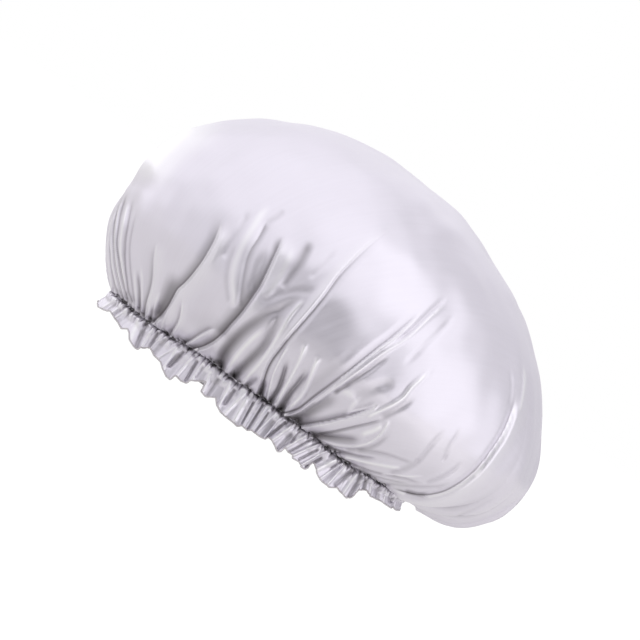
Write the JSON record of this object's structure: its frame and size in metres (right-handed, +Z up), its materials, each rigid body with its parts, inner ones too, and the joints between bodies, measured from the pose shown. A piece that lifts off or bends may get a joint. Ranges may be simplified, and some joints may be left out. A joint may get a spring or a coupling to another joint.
{
  "type": "hair bonnet",
  "caption": "Satin sleep bonnet: a full gathered crown on an oval elastic in a taped casing, with a pleated frill below.",
  "frame": {"origin": "centre of the head opening, on the plane that the frill's edge stands on", "axes": "+Z up through the crown, -Y towards the forehead and +Y towards the nape, +X towards the wearer's left"},
  "size_m": [0.2524, 0.291, 0.1782],
  "materials": {
    "satin": "silver-grey satin weave with a faint lilac cast and soft sheen",
    "tape": "narrow satin tape, duller than the face cloth",
    "elastic": "white knitted elastic with fine ribs along it"
  },
  "bodies": {
    "root": {"crown": "satin", "frill": "satin", "casing_tape": "tape", "elastic_band": "elastic"}
  },
  "joints": []
}
